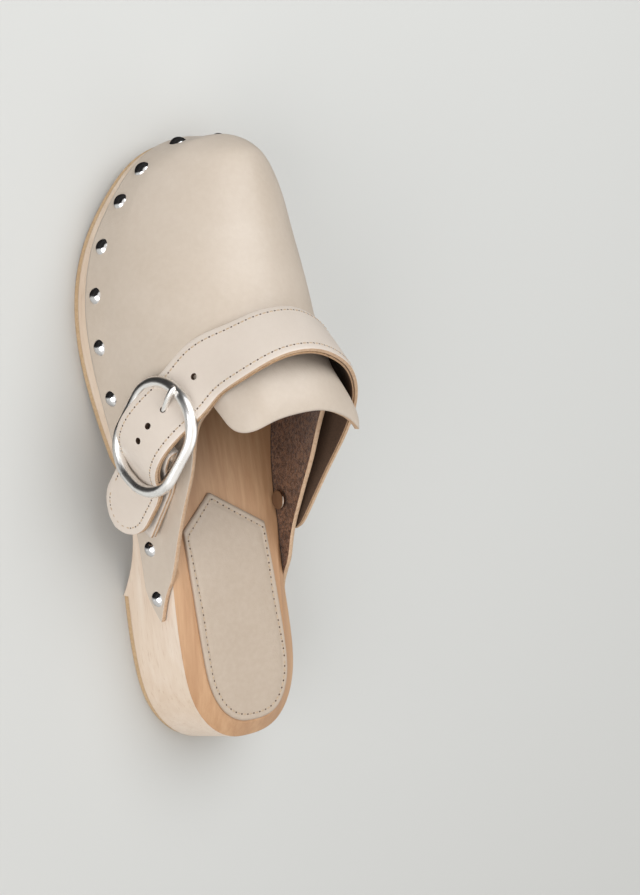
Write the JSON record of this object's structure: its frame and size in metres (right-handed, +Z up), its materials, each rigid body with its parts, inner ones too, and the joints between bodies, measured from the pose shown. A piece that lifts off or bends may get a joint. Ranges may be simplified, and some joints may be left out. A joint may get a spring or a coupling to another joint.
{
  "type": "wooden clog",
  "caption": "Open-back clog: leather vamp nailed round a carved wooden sole, padded heel sock, and an instep strap that passes under a round buckle.",
  "frame": {"origin": "on the ground under the middle of the heel", "axes": "+Z up, +Y towards the back of the heel, toe towards -Y, +X towards the outer (buckle) side of the left foot"},
  "size_m": [0.1008, 0.2479, 0.0968],
  "materials": {
    "wood": "pale, lightly lacquered",
    "tread_rubber": "matt tan",
    "leather": "smooth, nude beige, soft sheen",
    "suede": "brushed",
    "foam": "open-cell foam",
    "nickel": "polished"
  },
  "bodies": {
    "shoe": {"wooden_sole": "wood", "forefoot_tread": "tread_rubber", "heel_tread": "tread_rubber", "heel_sock": "leather", "sock_foam": "foam", "vamp": "leather", "lateral_studs": "nickel", "medial_studs": "nickel", "toe_studs": "nickel", "chape_stud": "nickel", "strap_rivet": "nickel", "rivet_cap": "nickel"},
    "strap": {"strap_leather": "leather", "strap_lining": "suede"},
    "chape": {"buckle_chape": "leather"},
    "buckle": {"buckle_frame": "nickel"},
    "prong": {"buckle_prong": "nickel"}
  },
  "joints": [
    {"name": "strap_open", "type": "hinge", "parent": "shoe", "child": "strap", "pos_m": [-0.032, -0.076, 0.038], "axis": [0, -0.6429, -0.7659], "range_deg": [0, 100], "deforming": ["strap_leather", "strap_lining"]},
    {"name": "chape_flex", "type": "hinge", "parent": "shoe", "child": "chape", "pos_m": [0.0365, -0.0778, 0.0288], "axis": [-0.1511, 0.6353, 0.7574], "range_deg": [0, 20], "deforming": ["buckle_chape"]},
    {"name": "frame_tilt", "type": "hinge", "parent": "chape", "child": "buckle", "pos_m": [0.0449, -0.1, 0.049], "axis": [-0.1511, 0.6353, 0.7574], "range_deg": [-12, 0]},
    {"name": "prong_swing", "type": "hinge", "parent": "buckle", "child": "prong", "pos_m": [0.0449, -0.1, 0.049], "axis": [-0.1511, 0.6353, 0.7574], "range_deg": [0, 110]}
  ],
  "couplings": [
    {"joint": "chape_flex", "follows": "strap_open", "ratio": 0.2},
    {"joint": "frame_tilt", "follows": "strap_open", "ratio": -0.12},
    {"joint": "prong_swing", "follows": "strap_open", "ratio": 1.1}
  ]
}
